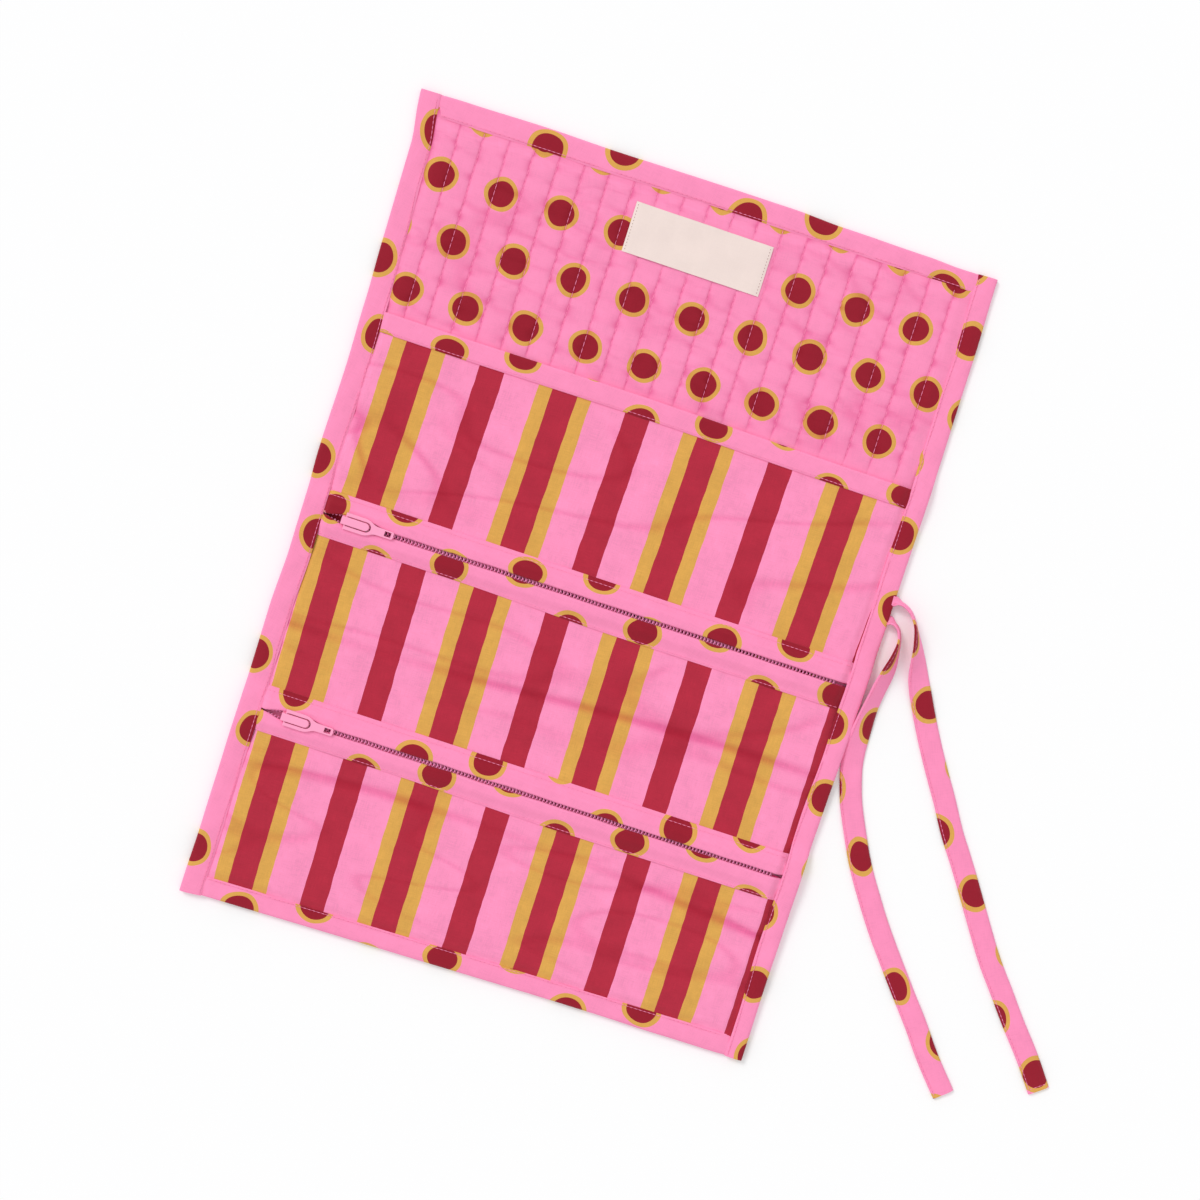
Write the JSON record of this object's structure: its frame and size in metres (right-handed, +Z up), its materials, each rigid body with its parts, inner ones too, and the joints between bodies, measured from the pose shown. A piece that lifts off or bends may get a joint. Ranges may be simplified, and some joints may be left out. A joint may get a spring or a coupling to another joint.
{
  "type": "jewelry roll",
  "caption": "Open quilted cloth roll with a flap, a slip pocket, zipped pockets, a bare cloth label and loose ties; its sections fold over one another.",
  "frame": {"origin": "middle of the open panel's underside, on the table", "axes": "+X across the panel towards the edge with the ties, +Y up the panel towards the flap, +Z up from the table"},
  "size_m": [0.3789, 0.344, 0.0078],
  "materials": {
    "dot_cotton": "plain-weave cotton, pink with ringed dots",
    "stripe_cotton": "plain-weave cotton with broad stripes",
    "wadding": "loose cotton wadding",
    "label_cloth": "woven cotton tape",
    "zip_tape": "woven polyester tape",
    "zip_coil": "moulded nylon coil",
    "painted_zip": "satin paint on cast zinc"
  },
  "bodies": {
    "pocket_1_panel": {"pocket_1_shell": "dot_cotton", "pocket_1_batting": "wadding", "pocket_1_lining": "dot_cotton", "pocket_1_binding_left": "dot_cotton", "pocket_1_binding_right": "dot_cotton", "slip_pocket_front": "stripe_cotton", "slip_pocket_mouth_band": "dot_cotton", "tie_outer": "dot_cotton", "tie_inner": "dot_cotton"},
    "flap": {"flap_shell": "dot_cotton", "flap_batting": "wadding", "flap_lining": "dot_cotton", "flap_binding_left": "dot_cotton", "flap_binding_right": "dot_cotton", "binding_top": "dot_cotton", "label": "label_cloth"},
    "pocket_2_panel": {"pocket_2_shell": "dot_cotton", "pocket_2_batting": "wadding", "pocket_2_lining": "dot_cotton", "pocket_2_binding_left": "dot_cotton", "pocket_2_binding_right": "dot_cotton", "pocket_2_front": "stripe_cotton", "zip_1_upper_band": "dot_cotton", "zip_1_lower_band": "dot_cotton", "zip_1_tape_upper": "zip_tape", "zip_1_tape_lower": "zip_tape", "zip_1_coil_upper": "zip_coil", "zip_1_coil_lower": "zip_coil"},
    "pocket_3_panel": {"pocket_3_shell": "dot_cotton", "pocket_3_batting": "wadding", "pocket_3_lining": "dot_cotton", "pocket_3_binding_left": "dot_cotton", "pocket_3_binding_right": "dot_cotton", "pocket_3_front": "stripe_cotton", "binding_bottom": "dot_cotton", "zip_2_upper_band": "dot_cotton", "zip_2_lower_band": "dot_cotton", "zip_2_tape_upper": "zip_tape", "zip_2_tape_lower": "zip_tape", "zip_2_coil_upper": "zip_coil", "zip_2_coil_lower": "zip_coil"},
    "slider_1": {"zip_1_slider": "painted_zip"},
    "pull_1": {"zip_1_pull": "painted_zip"},
    "slider_2": {"zip_2_slider": "painted_zip"},
    "pull_2": {"zip_2_pull": "painted_zip"}
  },
  "joints": [
    {"name": "flap_fold", "type": "hinge", "parent": "pocket_1_panel", "child": "flap", "pos_m": [0, 0.096, 0.0097], "axis": [1, 0, 0], "range_deg": [0, 180]},
    {"name": "pocket_2_fold", "type": "hinge", "parent": "pocket_1_panel", "child": "pocket_2_panel", "pos_m": [0, 0.0072, 0.008], "axis": [-0.9999, 0.0155, 0], "range_deg": [0, 180]},
    {"name": "pocket_3_fold", "type": "hinge", "parent": "pocket_2_panel", "child": "pocket_3_panel", "pos_m": [0, -0.08, 0.0057], "axis": [-0.9999, 0.0155, 0], "range_deg": [0, 180]},
    {"name": "slider_1_travel", "type": "slide", "parent": "pocket_2_panel", "child": "slider_1", "axis": [0.9999, -0.0155, 0], "range_m": [0, 0.2], "deforming": ["zip_1_coil_upper", "zip_1_coil_lower"]},
    {"name": "pull_1_swing", "type": "hinge", "parent": "slider_1", "child": "pull_1", "pos_m": [-0.1017, -0.00342, 0.0068], "axis": [-0.0155, -0.9999, 0], "range_deg": [0, 180]},
    {"name": "slider_2_travel", "type": "slide", "parent": "pocket_3_panel", "child": "slider_2", "axis": [0.9999, -0.0155, 0], "range_m": [0, 0.2], "deforming": ["zip_2_coil_upper", "zip_2_coil_lower"]},
    {"name": "pull_2_swing", "type": "hinge", "parent": "slider_2", "child": "pull_2", "pos_m": [-0.1017, -0.08862, 0.0068], "axis": [-0.0155, -0.9999, 0], "range_deg": [0, 180]}
  ]
}
